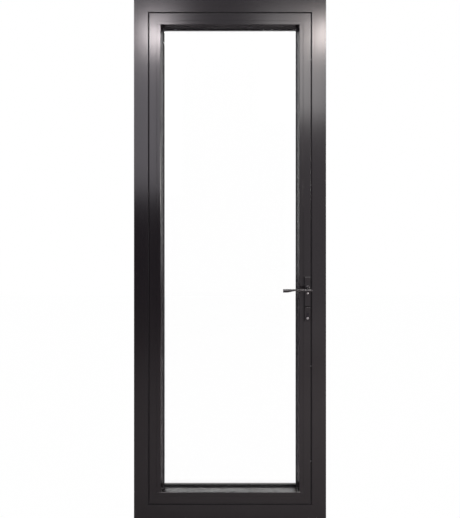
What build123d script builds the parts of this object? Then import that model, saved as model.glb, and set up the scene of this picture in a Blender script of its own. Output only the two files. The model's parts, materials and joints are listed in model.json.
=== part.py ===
"""Outward-opening entry door of powder-coated aluminium, glazed over its whole height, in its frame.

X runs along the width, Y from the room to the outdoors and Z up. The origin is in the middle of the
sill's underside, halfway through the depth. Sections are drawn as (u, y): u is the distance from the
frame's outer edge towards the middle of the door, the same on all four sides. All sizes are in mm.
"""

from build123d import *
from math import acos, ceil, cos, pi, radians, sin, tan
import os

# Frame and leaf, overall
door_width = 885.0
door_height = 2400.0
door_depth = 65.0
leaf_gap = 5.5

# Extruded sections
wall = 2.0
inner_depth = 28.5
outer_depth = 14.5
frame_tube = 58.0
frame_flange = 7.0
flange_thick = 4.0
leaf_tube = 35.0
lip_overlap = 7.0
lip_thick = 7.5
lip_seal_gap = 4.0
leg_thick = 10.0
bar_thick = 2.2
bar_bump_rise = 1.6
bar_bump_length = 8.0
edge_chamfer = 0.6

# Groove for the drive rods in the leaf's edge
groove_mouth = 10.0
groove_width = 15.0
groove_depth = 4.0

# Corner cleats
cleat_arm = 70.0
cleat_clear = 0.3

# Glazing
bead_face = 17.0
bead_wall = 1.6
sight_inset = 11.0
pane_thick = 6.0
pane_gap = 12.0
pane_clear = 5.0
gasket_thick = 4.0
gasket_width = 11.5
gasket_lip = 3.0
spacer_width = 8.0
spacer_wall = 0.6
edge_seal_width = 3.0
block_length = 100.0

# Seals of frame and leaf
frame_seal_height = 10.5
frame_seal_thick = 2.0
lip_seal_width = 5.0
seal_clear = 0.4

# Hinges
hinge_count = 3
hinge_end = 240.0
hinge_length = 100.0
hinge_axis_out = 12.5
knuckle_radius = 9.0
knuckle_gap = 0.5
pin_radius = 5.0
pin_clear = 0.05
wing_thick = 5.0
wing_reach = 30.0
wing_set_back = 10.0
web_start = 3.0

# Lock gear
handle_height = 1060.0
backset = 15.5
gear_module = 1.0
gear_teeth = 16
gear_thick = 8.0
gear_backlash = 0.25
pressure_angle = 20.0
hub_radius = 6.0
spindle_size = 8.0
lever_turn = 90.0
rod_thick = 3.2
rod_clear = 0.4
rod_end_clear = 60.0
rack_backing = 3.2
rod_strap_width = 16.4
rod_strap_end = 6.0
rack_foot = 12.0
rack_foot_drop = 36.0
cam_radius = 4.5
cam_reach = 9.0
cam_clear = 1.2
cam_below_top = 280.0
cam_above_bottom = 260.0
cam_share = 0.45
keeper_length = 46.0
keeper_wall = 2.0
keeper_rise = 8.0
keeper_clear = 0.5
keeper_floor = 1.5

# Lock case, faceplate, cylinder and deadbolt
case_top = 52.0
case_bottom = 172.0
case_depth = 29.0
case_width = 19.6
case_wall = 1.2
hub_space = 7.0
face_width = 20.0
face_thick = 2.0
fit_clear = 0.2
cylinder_drop = 134.0
cylinder_radius = 8.5
cylinder_leg_width = 10.0
cylinder_leg_top = 24.5
cylinder_inside = 1.5
cylinder_outside = 2.5
plug_radius = 6.4
plug_clear = 0.06
cam_gap = 10.6
key_cam_radius = 8.9
key_cam_thick = 9.6
key_slot_width = 1.6
key_slot_height = 7.5
key_slot_depth = 6.0
key_cam_width = 6.0
bolt_height = 22.0
bolt_thick = 10.0
bolt_rise = 39.0
bolt_clear = 0.4
bolt_length = 29.0
bolt_chamfer = 0.8
strike_thick = 2.5
strike_length = 76.0
strike_width = 15.5
strike_clear = 0.9
cylinder_screw_radius = 2.5
cylinder_screw_length = 19.5

# Lever, backplates and knob
plate_width = 28.5
plate_thick = 8.0
plate_chamfer = 1.6
upper_plate_top = 56.0
upper_plate_bottom = 80.0
plate_seam = 2.4
lower_plate_length = 66.0
neck_radius = 9.5
neck_length = 33.0
bearing_radius = 8.0
spindle_grip = 30.0
blade_thick = 11.0
blade_left = 116.0
blade_right = 15.0
blade_rise = 5.5
blade_tip = 14.5
blade_waist = 8.0
blade_waist_at = 58.0
blade_root = 10.5
blade_corner = 2.0
plate_screw_drop = 19.0
plate_screw_radius = 3.0
plate_peg_rise = 34.0
plate_peg_length = 6.0
knob_radius = 25.0
knob_length = 44.0
knob_stem = 22.0
knob_rim = 8.0

# Fixings to the wall and drainage
anchor_radius = 3.75
anchor_slot = 14.0
anchor_end = 200.0
drain_width = 30.0
drain_height = 6.0
drain_from_side = 220.0
drain_cap_thick = 3.0
drain_cap_lip = 4.0

# Planes and edges worked out from the sizes above
front = -door_depth / 2
back = door_depth / 2
inner_back = front + inner_depth
outer_front = back - outer_depth
leaf_edge = frame_tube + frame_flange + leaf_gap
leaf_inside = leaf_edge + leaf_tube
bead_edge = leaf_inside + bead_face
sight = bead_edge + sight_inset
lip_edge = frame_tube - lip_overlap
lip_front = back - lip_thick
recess_floor = lip_front - lip_seal_gap
recess_edge = lip_edge - leaf_gap
leg_front = back - leg_thick
outer_pane_front = leg_front - gasket_thick - pane_thick
inner_pane_front = outer_pane_front - pane_gap - pane_thick
bead_back = inner_pane_front - gasket_thick
pane_edge = leaf_inside + pane_clear
lock_side_x = door_width / 2
anchor_y = inner_back - wall - anchor_slot / 2 - 1.0
gear_y = (front + inner_back) / 2
gear_x = lock_side_x - leaf_edge - backset
gear_pitch_radius = gear_module * gear_teeth / 2
rod_travel = gear_pitch_radius * radians(lever_turn)
channel_front = leaf_edge + wall
rod_front = channel_front + rod_clear
rod_width = groove_width - 2 * rod_clear
hub_half = case_width / 2
case_low = handle_height - case_bottom
case_high = handle_height + case_top
cylinder_height = handle_height - cylinder_drop
cylinder_screw_z = cylinder_height + cylinder_leg_top - cylinder_leg_width / 2
bolt_z = cylinder_height + bolt_rise
hinge_x = -door_width / 2 + (recess_edge + lip_edge) / 2
hinge_y = back + hinge_axis_out
hinge_heights = [
    hinge_end + i * (door_height - 2 * hinge_end) / (hinge_count - 1) for i in range(hinge_count)
]
SIDES = ("hinge", "top", "lock", "bottom")


def save(name, *pieces):
    """Writes one node, as one solid or as a group of separate solids."""
    solids = [solid for piece in pieces for solid in piece.solids()]
    export_step(solids[0] if len(solids) == 1 else Compound(children=solids), f"parts/{name}.step")


def outline(*points):
    return make_face(Polyline(*points, close=True))


def block(x0, x1, y0, y1, z0, z1):
    """A box between two corners, given in any order."""
    size = (abs(x1 - x0), abs(y1 - y0), abs(z1 - z0))
    return Pos((x0 + x1) / 2, (y0 + y1) / 2, (z0 + z1) / 2) * Box(*size)


def rod_along(axis, start, radius, length):
    """A cylinder of the given length from a start point along an axis."""
    return extrude(Plane(origin=start, z_dir=axis) * Circle(radius), amount=length, dir=axis)


def lock_x(u):
    return lock_side_x - u


# One side of the door


def side_plane(side):
    """A side's section plane, its local x inward and its local y outdoors, and the length of its run."""
    half = door_width / 2
    if side == "hinge":
        return Plane(origin=(-half, 0, 0), x_dir=(1, 0, 0), z_dir=(0, 0, 1)), door_height
    if side == "lock":
        return Plane(origin=(half, 0, door_height), x_dir=(-1, 0, 0), z_dir=(0, 0, -1)), door_height
    if side == "top":
        return Plane(origin=(-half, 0, door_height), x_dir=(0, 0, -1), z_dir=(1, 0, 0)), door_width
    return Plane(origin=(half, 0, 0), x_dir=(0, 0, 1), z_dir=(-1, 0, 0)), door_width


def mitre_prism(side):
    """All that lies nearer to this side than to the others, which cuts a run to 45 degrees at both ends."""
    half = door_width / 2
    reach = sight + leaf_tube
    low_left, low_right = (reach - half, reach), (half - reach, reach)
    high_left, high_right = (reach - half, door_height - reach), (half - reach, door_height - reach)
    corners = {
        "hinge": [(-half, 0), low_left, high_left, (-half, door_height)],
        "lock": [(half, 0), low_right, high_right, (half, door_height)],
        "top": [(-half, door_height), high_left, high_right, (half, door_height)],
        "bottom": [(-half, 0), low_left, low_right, (half, 0)],
    }
    return extrude(Plane.XZ * outline(*corners[side]), amount=2 * door_depth, both=True)


def run(section, side, mitred=True):
    plane, length = side_plane(side)
    solid = extrude(plane * section, amount=length, dir=plane.z_dir)
    return solid & mitre_prism(side) if mitred else solid


def ring(section):
    """One closed ring of four mitred runs."""
    first, *others = [run(section, side) for side in SIDES]
    return first.fuse(*others).clean()


# Sections of the frame


def rectangle(u0, u1, y0, y1):
    return outline((u0, y0), (u1, y0), (u1, y1), (u0, y1))


def frame_inner_section():
    flange_edge = frame_tube + frame_flange
    body = outline((0, front), (flange_edge, front), (flange_edge, front + flange_thick),
                   (frame_tube, front + flange_thick), (frame_tube, inner_back), (0, inner_back))
    body = chamfer(body.vertices().sort_by(Axis.Y)[:2], edge_chamfer)
    return body - rectangle(wall, frame_tube - wall, front + wall, inner_back - wall)


def frame_outer_section():
    body = outline((0, outer_front), (frame_tube, outer_front), (frame_tube, recess_floor),
                   (recess_edge, recess_floor), (recess_edge, back), (0, back))
    body = chamfer(body.vertices().sort_by(Axis.Y)[-2:], edge_chamfer)
    return body - rectangle(wall, recess_edge - wall, outer_front + wall, back - wall)


def leaf_inner_section():
    body = rectangle(leaf_edge, leaf_inside, front, inner_back)
    body = chamfer(body.vertices().sort_by(Axis.Y)[:2], edge_chamfer)
    chamber_start = channel_front + groove_depth + wall
    chamber = rectangle(chamber_start, leaf_inside - wall, front + wall, inner_back - wall)
    mouth = rectangle(leaf_edge - wall, channel_front, gear_y - groove_mouth / 2, gear_y + groove_mouth / 2)
    channel = rectangle(channel_front, channel_front + groove_depth,
                        gear_y - groove_width / 2, gear_y + groove_width / 2)
    return body - chamber - mouth - channel


def leaf_outer_section():
    body = outline((lip_edge, lip_front), (lip_edge, back), (sight, back), (sight, leg_front),
                   (leaf_inside, leg_front), (leaf_inside, outer_front), (leaf_edge, outer_front),
                   (leaf_edge, lip_front))
    body = chamfer(body.vertices().sort_by(Axis.Y)[-2:], edge_chamfer)
    tube = rectangle(leaf_edge + wall, leaf_inside - wall, outer_front + wall, back - wall)
    leg = rectangle(leaf_inside, sight - wall, leg_front + wall, back - wall)
    return body - tube - leg


def bar_sections(first_u, last_u):
    """The two plastic bars that join an inner and an outer extrusion and stop the cold."""
    middle = (inner_back + outer_front) / 2
    low, high = middle - bar_bump_length / 2, middle + bar_bump_length / 2
    sections = []
    for edge, inward in ((first_u, 1), (last_u, -1)):
        in_u = edge + inward * bar_thick
        bump_u = in_u + inward * bar_bump_rise
        sections.append(outline((edge, inner_back), (edge, outer_front), (in_u, outer_front),
                                (in_u, high), (bump_u, high - bar_bump_rise),
                                (bump_u, low + bar_bump_rise), (in_u, low), (in_u, inner_back)))
    return sections


def cleat(inner_edge, outer_edge, y0, y1, corner):
    """An L-shaped corner block that fills a chamber at one mitre."""
    x_sign, top = corner
    near, far = outer_edge, inner_edge
    end = far + cleat_arm
    body = outline((near, near), (end, near), (end, far), (far, far), (far, end), (near, end))
    body -= Pos((near + far) / 2, (near + far) / 2) * Rectangle((far - near) / 2, (far - near) / 2)
    solid = Pos(0, y1, 0) * extrude(Plane.XZ * body, amount=y1 - y0, dir=(0, -1, 0))
    solid = Pos(-door_width / 2, 0, 0) * solid
    if x_sign > 0:
        solid = mirror(solid, about=Plane.YZ)
    if top:
        solid = mirror(solid, about=Plane.XY.offset(door_height / 2))
    return solid


def cleats(inner_u, outer_u, depths):
    """Cleats for all four corners, one in each chamber."""
    made = []
    for y0, y1 in depths:
        for corner in ((-1, False), (1, False), (-1, True), (1, True)):
            made.append(cleat(inner_u, outer_u, y0, y1, corner))
    return made


# Holes that the frame's runs get


def anchor_heights():
    return (anchor_end, door_height / 2, door_height - anchor_end)


def anchor_cuts(direction):
    """Round holes for the wall screws through a jamb's back, and a milled slot for the driver opposite."""
    outer_x = direction * door_width / 2
    floor_x = outer_x - direction * frame_tube
    half = anchor_slot / 2
    cuts = []
    for height in anchor_heights():
        cuts.append(rod_along((-direction, 0, 0), (outer_x, anchor_y, height), anchor_radius, 2 * wall))
        cuts.append(block(floor_x - 2 * wall, floor_x + 2 * wall, anchor_y - half, anchor_y + half,
                          height - half, height + half))
    return cuts


def drain_places():
    return (-door_width / 2 + drain_from_side, door_width / 2 - drain_from_side)


def drain_cut(x):
    """A slot through the sill's outdoor face, for the rain."""
    z = frame_tube / 2
    return block(x - drain_width / 2, x + drain_width / 2, back - 2 * wall, back + wall,
                 z - drain_height / 2, z + drain_height / 2)


def drain_cap(x):
    z = frame_tube / 2
    half_width = drain_width / 2 + drain_cap_lip
    half_height = drain_height / 2 + drain_cap_lip
    cap = block(x - half_width, x + half_width, back, back + drain_cap_thick,
                z - half_height, z + half_height)
    cap = chamfer(cap.faces().sort_by(Axis.Y)[-1].edges(), drain_cap_thick / 2)
    mouth = block(x - drain_width / 2, x + drain_width / 2, back - wall, back + drain_cap_thick / 2,
                  z - half_height - wall, z)
    return cap - mouth


# Hinges


def hinge_knuckle(toward, z):
    """(low, high) of a knuckle: the frame carries the lower one and the leaf is lifted onto it."""
    half_gap = knuckle_gap / 2
    if toward < 0:
        return z - hinge_length / 2, z - half_gap
    return z + half_gap, z + hinge_length / 2


def wing(toward, z):
    """One half of a hinge: its flat on the outdoor face and its knuckle. The frame's half has the pin."""
    near = toward * wing_set_back
    far = near + toward * wing_reach
    flat = block(hinge_x + near, hinge_x + far, back, back + wing_thick, z - hinge_length / 2,
                 z + hinge_length / 2)
    long_edges = flat.faces().sort_by(Axis.Y)[-1].edges().filter_by(Axis.Z).sort_by(Axis.X)
    flat = chamfer(long_edges[-1 if toward > 0 else 0], wing_thick / 2)
    low, high = hinge_knuckle(toward, z)
    web = outline((toward * web_start, -hinge_axis_out), (near, -hinge_axis_out),
                  (near, wing_thick - hinge_axis_out), (0, knuckle_radius),
                  (0, knuckle_radius - hinge_axis_out))
    section = Circle(knuckle_radius) + web
    if toward > 0:
        section -= Circle(pin_radius + pin_clear)
    body = flat + extrude(Plane(origin=(hinge_x, hinge_y, low)) * section, amount=high - low)
    if toward > 0:
        return body
    pin = rod_along((0, 0, 1), (hinge_x, hinge_y, high), pin_radius, (hinge_length + knuckle_gap) / 2)
    return body + pin


# Glazing


def bead_outline():
    """A bead's outline, whose face slopes from the room side back to the gasket."""
    return outline((leaf_inside, front), (bead_edge, front), (sight - gasket_lip, bead_back),
                   (leaf_inside, bead_back))


def bead_section():
    """The bead's hollow section, with its front edges eased."""
    back_edge = sight - gasket_lip
    outer = bead_outline()
    outer = chamfer(outer.vertices().sort_by(Axis.Y)[:2], edge_chamfer)
    inner = outline((leaf_inside + bead_wall, front + bead_wall), (bead_edge - bead_wall, front + bead_wall),
                    (back_edge - 1.3 * bead_wall, bead_back - bead_wall),
                    (leaf_inside + bead_wall, bead_back - bead_wall))
    return outer - inner


def beads():
    """The through beads at top and bottom, and the side beads that butt between them."""
    section = bead_section()
    ends = block(-door_width, door_width, -door_depth, door_depth, leaf_inside, door_height - leaf_inside)
    span = door_width / 2 - leaf_inside
    inside = block(-span, span, -door_depth, door_depth, leaf_inside, door_height - leaf_inside)
    top = run(section, "top", mitred=False) & inside
    bottom = run(section, "bottom", mitred=False) & inside
    filled = [run(bead_outline(), side, mitred=False) & inside for side in ("top", "bottom")]
    sides = [(run(section, side, mitred=False) & ends) - filled[0] - filled[1] for side in ("hinge", "lock")]
    return {"bead_top": top, "bead_bottom": bottom, "bead_hinge_side": sides[0], "bead_lock_side": sides[1]}


def inner_gasket_section():
    start = sight - gasket_width
    return outline((start, bead_back), (sight - gasket_lip, bead_back), (sight, inner_pane_front - 1.0),
                   (sight, inner_pane_front), (start, inner_pane_front))


def outer_gasket_section():
    start = sight - gasket_width
    end_y = outer_pane_front + pane_thick
    return outline((start, end_y), (sight, end_y), (sight, end_y + 1.0), (sight - 1.0, leg_front),
                   (start, leg_front))


def pane(y):
    half = door_width / 2 - pane_edge
    return block(-half, half, y, y + pane_thick, pane_edge, door_height - pane_edge)


def spacer_section():
    start = pane_edge + edge_seal_width
    y0 = inner_pane_front + pane_thick
    y1 = outer_pane_front
    tube = rectangle(start, start + spacer_width, y0, y1)
    return tube - rectangle(start + spacer_wall, start + spacer_width - spacer_wall,
                            y0 + spacer_wall, y1 - spacer_wall)


def edge_seal_section():
    return rectangle(pane_edge, pane_edge + edge_seal_width, inner_pane_front + pane_thick, outer_pane_front)


def setting_blocks():
    """Blocks under the glass at its quarter points, one pair in height against the lock side."""
    quarter = (door_width - 2 * pane_edge) / 4
    y1 = outer_pane_front + pane_thick
    made = [block(x - block_length / 2, x + block_length / 2, inner_pane_front, y1, leaf_inside, pane_edge)
            for x in (-quarter, quarter)]
    made += [block(x0, x0 + pane_clear, inner_pane_front, y1, z - block_length / 2, z + block_length / 2)
             for x0, z in ((-door_width / 2 + leaf_inside, door_height - pane_edge - 1.5 * block_length),
                           (door_width / 2 - pane_edge, pane_edge + 1.5 * block_length))]
    return made


# Seals


def frame_seal_section():
    """A soft fin on the rebate's floor, behind the flange, that darkens and closes the gap."""
    y0 = front + flange_thick
    return outline((frame_tube, y0), (frame_tube + frame_seal_height, y0),
                   (frame_tube + frame_seal_height, y0 + frame_seal_thick / 2),
                   (frame_tube + 2.0, y0 + frame_seal_thick), (frame_tube, y0 + frame_seal_thick))


def lip_seal_section():
    start = lip_edge + 1.0
    return outline((start, lip_front), (start, lip_front - 1.2), (start + 1.5, recess_floor + seal_clear),
                   (start + lip_seal_width - 1.0, recess_floor + seal_clear),
                   (start + lip_seal_width, lip_front - 1.2), (start + lip_seal_width, lip_front))


# Lock gear in the lock stile


def involute(base_radius, radius):
    """The polar angle of an involute at a radius, from where it leaves its base circle."""
    roll = acos(base_radius / radius)
    return tan(roll) - roll


def tooth_flank(radii, base_radius, half_angle_at_pitch):
    start = half_angle_at_pitch + involute(base_radius, gear_pitch_radius)
    return [(r, start - involute(base_radius, max(r, base_radius))) for r in radii]


def drive_pinion():
    """An involute pinion with a hub at each face and a square hole for the spindle, its axis along Y."""
    base = gear_pitch_radius * cos(radians(pressure_angle))
    tip = gear_pitch_radius + gear_module
    root = gear_pitch_radius - 1.25 * gear_module
    half_angle = (pi * gear_module / 2 - gear_backlash) / 2 / gear_pitch_radius
    radii = [root, gear_pitch_radius, tip]
    flank = tooth_flank(radii, base, half_angle)
    points = []
    for tooth in range(gear_teeth):
        middle = 2 * pi * tooth / gear_teeth
        for side in (-1, 1):
            for r, angle in (flank if side < 0 else reversed(flank)):
                at = middle + side * angle
                points.append((r * cos(at), r * sin(at)))
    teeth = outline(*points)
    gear = extrude(Plane.XZ * teeth, amount=gear_thick / 2, both=True)
    hub = extrude(Plane.XZ * Circle(hub_radius), amount=hub_half, both=True)
    hole = extrude(Plane.XZ * Rectangle(spindle_size, spindle_size), amount=2 * hub_half, both=True)
    return Pos(gear_x, gear_y, handle_height) * (gear + hub - hole)


def rack(first, last, direction, backing):
    """A straight rack with its pitch line at x = 0, its teeth towards direction, a gap at z = 0."""
    pitch = pi * gear_module
    slope = tan(radians(pressure_angle))
    half = (pitch / 2 - gear_backlash) / 2
    tip = gear_module
    root = -1.25 * gear_module
    body = outline((direction * root, first), (direction * root, last),
                   (direction * (root - backing), last), (direction * (root - backing), first))
    index = ceil(first / pitch)
    while (index + 1) * pitch < last:
        middle = (index + 0.5) * pitch
        body += outline((direction * root, middle - half + slope * root),
                        (direction * tip, middle - half + slope * tip),
                        (direction * tip, middle + half - slope * tip),
                        (direction * root, middle + half - slope * root))
        index += 1
    return extrude(Plane.XZ * body, amount=gear_thick / 2, both=True)


def channel_rod(z0, z1, width):
    half = width / 2
    return block(lock_x(rod_front), lock_x(rod_front + rod_thick), gear_y - half, gear_y + half, z0, z1)


def upper_rod():
    """The rod that the lever lifts, with its rack on the pinion's edge side."""
    low = -(rod_travel + gear_pitch_radius)
    x = gear_x + gear_pitch_radius
    backing = lock_x(rod_front) - x - 1.25 * gear_module
    teeth = Pos(x, gear_y, handle_height) * rack(low, gear_pitch_radius, -1, backing)
    return teeth + channel_rod(handle_height + low, door_height - leaf_edge - rod_end_clear, rod_width)


def lower_rod():
    """The rod that the lever lowers: a rack behind the pinion, a foot across, and a window for the bolt."""
    low = -gear_pitch_radius
    x = gear_x - gear_pitch_radius
    back_x = x - 1.25 * gear_module - rack_backing
    teeth = Pos(x, gear_y, handle_height) * rack(low, rod_travel + gear_pitch_radius, 1, rack_backing)
    foot_top = handle_height - rack_foot_drop
    half = gear_thick / 2
    arm = block(back_x, back_x + rack_backing, gear_y - half, gear_y + half, foot_top - rack_foot,
                handle_height + low)
    foot = block(back_x, lock_x(rod_front), gear_y - half, gear_y + half, foot_top - rack_foot, foot_top)
    window_top = bolt_z + bolt_height / 2 + rod_travel + bolt_clear
    window_low = cylinder_screw_z - cylinder_screw_radius - bolt_clear
    strap = channel_rod(window_low - rod_strap_end, foot_top, rod_strap_width)
    half_window = bolt_thick / 2 + bolt_clear
    strap -= block(lock_x(rod_front - 1), lock_x(rod_front + rod_thick + 1), gear_y - half_window,
                   gear_y + half_window, window_low, window_top)
    rod = channel_rod(leaf_edge + rod_end_clear, window_low - rod_strap_end / 2, rod_width)
    return rod + strap + foot + arm + teeth


def cam(z):
    """A round stud on a drive rod, standing out of the leaf's edge."""
    length = rod_front - leaf_edge + cam_reach
    return rod_along((1, 0, 0), (lock_x(rod_front), gear_y, z), cam_radius, length)


def keeper(z, direction):
    """A channel on the jamb that a cam slides into lengthwise, so that its walls hold the leaf shut."""
    start = z + direction * (cam_radius + cam_clear)
    half_in = cam_radius + keeper_clear
    half_out = half_in + keeper_wall
    rise = frame_tube + keeper_rise
    floor = frame_tube + keeper_floor
    section = outline((frame_tube, -half_out), (rise, -half_out), (rise, -half_in), (floor, -half_in),
                      (floor, half_in), (rise, half_in), (rise, half_out), (frame_tube, half_out))
    plane = Plane(origin=(lock_side_x, gear_y, start), x_dir=(-1, 0, 0), z_dir=(0, 0, -1))
    return extrude(plane * section, amount=keeper_length, dir=(0, 0, direction))


# Lock case, cylinder and deadbolt


def lock_pocket():
    """The space milled for the lock in the stile's edge."""
    return block(lock_x(leaf_edge - 1), lock_x(leaf_edge + face_thick + case_depth + fit_clear),
                 gear_y - face_width / 2, gear_y + face_width / 2, case_low, case_high)


def milled_slots():
    """Square-cornered slots under the plates, for the screw, the plates' pegs and the cylinder."""
    half = plate_screw_radius + fit_clear
    slots = [block(gear_x - half, gear_x + half, -door_depth, door_depth, z - half, z + half)
             for z in (plate_screw_height(), handle_height + plate_peg_rise)]
    half = cylinder_radius + fit_clear
    slots.append(block(gear_x - half, gear_x + half, -door_depth, door_depth, cylinder_height - half,
                       cylinder_height + cylinder_leg_top + fit_clear))
    return slots


def cylinder_space(y0, y1, clear=0.0):
    """The cylinder's section, a circle with a leg above it, between two depths."""
    leg = cylinder_leg_top
    section = Circle(cylinder_radius + clear)
    section += Pos(0, (leg + clear) / 2) * Rectangle(cylinder_leg_width + 2 * clear, leg + clear)
    plane = Plane(origin=(gear_x, y0, cylinder_height), x_dir=(1, 0, 0), z_dir=(0, -1, 0))
    return extrude(plane * section, amount=y1 - y0, dir=(0, 1, 0))


def through_y(x, z, radius, y0, y1):
    return rod_along((0, 1, 0), (x, y0, z), radius, y1 - y0)


def plate_screw_height():
    return handle_height - plate_screw_drop


def lock_case():
    """The folded steel case behind the faceplate, open towards it and notched where the rods pass."""
    mouth = leaf_edge + face_thick
    rear = mouth + case_depth
    half = case_width / 2
    body = block(lock_x(mouth), lock_x(rear), gear_y - half, gear_y + half, case_low + fit_clear,
                 case_high - fit_clear)
    inner_half = half - case_wall
    body -= block(lock_x(mouth - 1), lock_x(rear - case_wall), gear_y - inner_half, gear_y + inner_half,
                  case_low + fit_clear + case_wall, case_high - fit_clear - case_wall)
    notch_half = rod_width / 2 + rod_clear
    body -= block(lock_x(mouth - 1), lock_x(rod_front + rod_thick + rod_clear), gear_y - notch_half,
                  gear_y + notch_half, case_low - 1, case_high + 1)
    body -= through_y(gear_x, handle_height, hub_radius + pin_clear, -door_depth, door_depth)
    for slot in milled_slots():
        body -= slot
    return body


def lock_faceplate():
    half = face_width / 2 - fit_clear / 2
    body = block(lock_x(leaf_edge), lock_x(leaf_edge + face_thick), gear_y - half, gear_y + half,
                 case_low + fit_clear, case_high - fit_clear)
    half_window = bolt_thick / 2 + bolt_clear
    body -= block(lock_x(leaf_edge - 1), lock_x(leaf_edge + face_thick + 1), gear_y - half_window,
                  gear_y + half_window, bolt_z - bolt_height / 2 - bolt_clear,
                  bolt_z + bolt_height / 2 + bolt_clear)
    return body - cylinder_screw()


def cylinder_ends():
    return front - plate_thick - cylinder_inside, back + plate_thick + cylinder_outside


def cylinder_body():
    y0, y1 = cylinder_ends()
    body = cylinder_space(y0, y1)
    gap_top = cylinder_height + (cylinder_radius + cylinder_leg_top) / 2
    body -= block(gear_x - 2 * cylinder_radius, gear_x + 2 * cylinder_radius, gear_y - cam_gap / 2,
                  gear_y + cam_gap / 2, cylinder_height - 2 * cylinder_radius, gap_top)
    body -= through_y(gear_x, cylinder_height, plug_radius + plug_clear, y0, y1)
    return body - cylinder_screw()


def cylinder_plug():
    """The turning plug with a keyway at each end and the cam at its middle."""
    y0, y1 = cylinder_ends()
    split = key_cam_thick / 2
    plug = through_y(gear_x, cylinder_height, plug_radius, y0, y1)
    for y in (y0, y1):
        plug -= Pos(gear_x, y, cylinder_height) * Box(key_slot_width, 2 * key_slot_depth, key_slot_height)
    nose = block(gear_x - key_cam_width / 2, gear_x + key_cam_width / 2, gear_y - split, gear_y + split,
                 cylinder_height - key_cam_radius, cylinder_height)
    return plug + nose


def cylinder_screw():
    """The long screw through the faceplate that holds the cylinder by its leg."""
    head = (lock_x(leaf_edge), gear_y, cylinder_screw_z)
    return rod_along((-1, 0, 0), head, cylinder_screw_radius, cylinder_screw_length)


def deadbolt():
    body = block(lock_x(leaf_edge), lock_x(leaf_edge + bolt_length), gear_y - bolt_thick / 2,
                 gear_y + bolt_thick / 2, bolt_z - bolt_height / 2, bolt_z + bolt_height / 2)
    return chamfer(body.faces().sort_by(Axis.X)[-1].edges(), bolt_chamfer)


def strike_cut(clear):
    depth = 3 * wall
    return block(lock_x(frame_tube - depth), lock_x(frame_tube + strike_thick + 1),
                 gear_y - bolt_thick / 2 - clear, gear_y + bolt_thick / 2 + clear,
                 bolt_z - bolt_height / 2 - clear, bolt_z + bolt_height / 2 + clear)


def deadbolt_strike():
    body = block(lock_x(frame_tube), lock_x(frame_tube + strike_thick), gear_y - strike_width / 2,
                 gear_y + strike_width / 2, bolt_z - strike_length / 2, bolt_z + strike_length / 2)
    return body - strike_cut(strike_clear)


# Lever, backplates and knob


def backplate(low, high, outward):
    """A flat plate with a chamfered front edge, on the room side or outdoors."""
    face = front if outward < 0 else back
    body = block(gear_x - plate_width / 2, gear_x + plate_width / 2, face, face + outward * plate_thick,
                 low, high)
    return chamfer(body.faces().sort_by(Axis.Y)[0 if outward < 0 else -1].edges(), plate_chamfer)


def plate_peg(outward):
    """The square peg on a plate's back that keeps its upper end in place in the stile."""
    face = front if outward < 0 else back
    z = handle_height + plate_peg_rise
    half = plate_screw_radius
    return block(gear_x - half, gear_x + half, face - outward * plate_peg_length, face, z - half, z + half)


def inner_backplate():
    body = backplate(handle_height - upper_plate_bottom, handle_height + upper_plate_top, -1) + plate_peg(-1)
    bearing = through_y(gear_x, handle_height, bearing_radius + pin_clear, -door_depth, 0)
    return body - bearing - plate_screw()


def inner_escutcheon():
    high = handle_height - upper_plate_bottom - plate_seam
    plate = backplate(high - lower_plate_length, high, -1)
    return plate - cylinder_space(-door_depth, door_depth, fit_clear)


def outer_backplate():
    low = handle_height - upper_plate_bottom - plate_seam - lower_plate_length
    body = backplate(low, handle_height + upper_plate_top, 1) + plate_peg(1)
    return body - cylinder_space(-door_depth, door_depth, fit_clear) - plate_screw()


def plate_screw():
    """A long screw from the room-side plate through the stile into the outdoor plate."""
    start, end = front - plate_thick, back + plate_thick / 2
    return through_y(gear_x, plate_screw_height(), plate_screw_radius, start, end)


def outer_knob():
    """A fixed turned knob for pulling the door to from outdoors."""
    half = outline((0, 0), (neck_radius, 0), (neck_radius, knob_stem), (knob_radius, knob_length - knob_rim),
                   (knob_radius, knob_length), (0, knob_length))
    return Pos(gear_x, back + plate_thick, handle_height) * revolve(half, axis=Axis.Y)


def lever_handle():
    """The lever: a turned neck in the plate's bearing, and a flat blade with a dropped tip."""
    neck_start = front - plate_thick - fit_clear
    blade_back = front - plate_thick - neck_length
    bearing = through_y(gear_x, handle_height, bearing_radius, neck_start, front - fit_clear)
    neck = through_y(gear_x, handle_height, neck_radius, blade_back - blade_thick / 2, neck_start)
    tip_x = gear_x - blade_left
    waist_x = gear_x - blade_waist_at
    root_x = gear_x - neck_radius
    end_x = gear_x + blade_right
    top = blade_rise
    tip_low = top - blade_tip
    waist_low = top - blade_waist
    root_low = top - blade_root
    blade = make_face([
        Line((end_x, top), (tip_x, top)),
        Line((tip_x, top), (tip_x, tip_low)),
        Line((tip_x, tip_low), (tip_x + blade_tip, tip_low)),
        Spline((tip_x + blade_tip, tip_low), (waist_x, waist_low), (root_x, root_low),
               tangents=[(1, 0), (1, 0)]),
        Line((root_x, root_low), (end_x, root_low)),
        Line((end_x, root_low), (end_x, top)),
    ])
    plane = Plane(origin=(0, blade_back, handle_height), x_dir=(1, 0, 0), z_dir=(0, -1, 0))
    bar = extrude(plane * blade, amount=blade_thick, dir=(0, -1, 0))
    bar = fillet(bar.edges().filter_by(Axis.Y), blade_corner)
    body = bearing + neck + bar
    socket = block(gear_x - spindle_size / 2, gear_x + spindle_size / 2, front - spindle_grip, front,
                   handle_height - spindle_size / 2, handle_height + spindle_size / 2)
    return body - socket


def spindle():
    half = spindle_size / 2
    return block(gear_x - half, gear_x + half, front - spindle_grip, gear_y + hub_half, handle_height - half,
                 handle_height + half)


# The frame's nodes


def jamb(side, direction):
    inner = run(frame_inner_section(), side)
    for cut in anchor_cuts(direction):
        inner -= cut
    return inner, run(frame_outer_section(), side)


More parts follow.
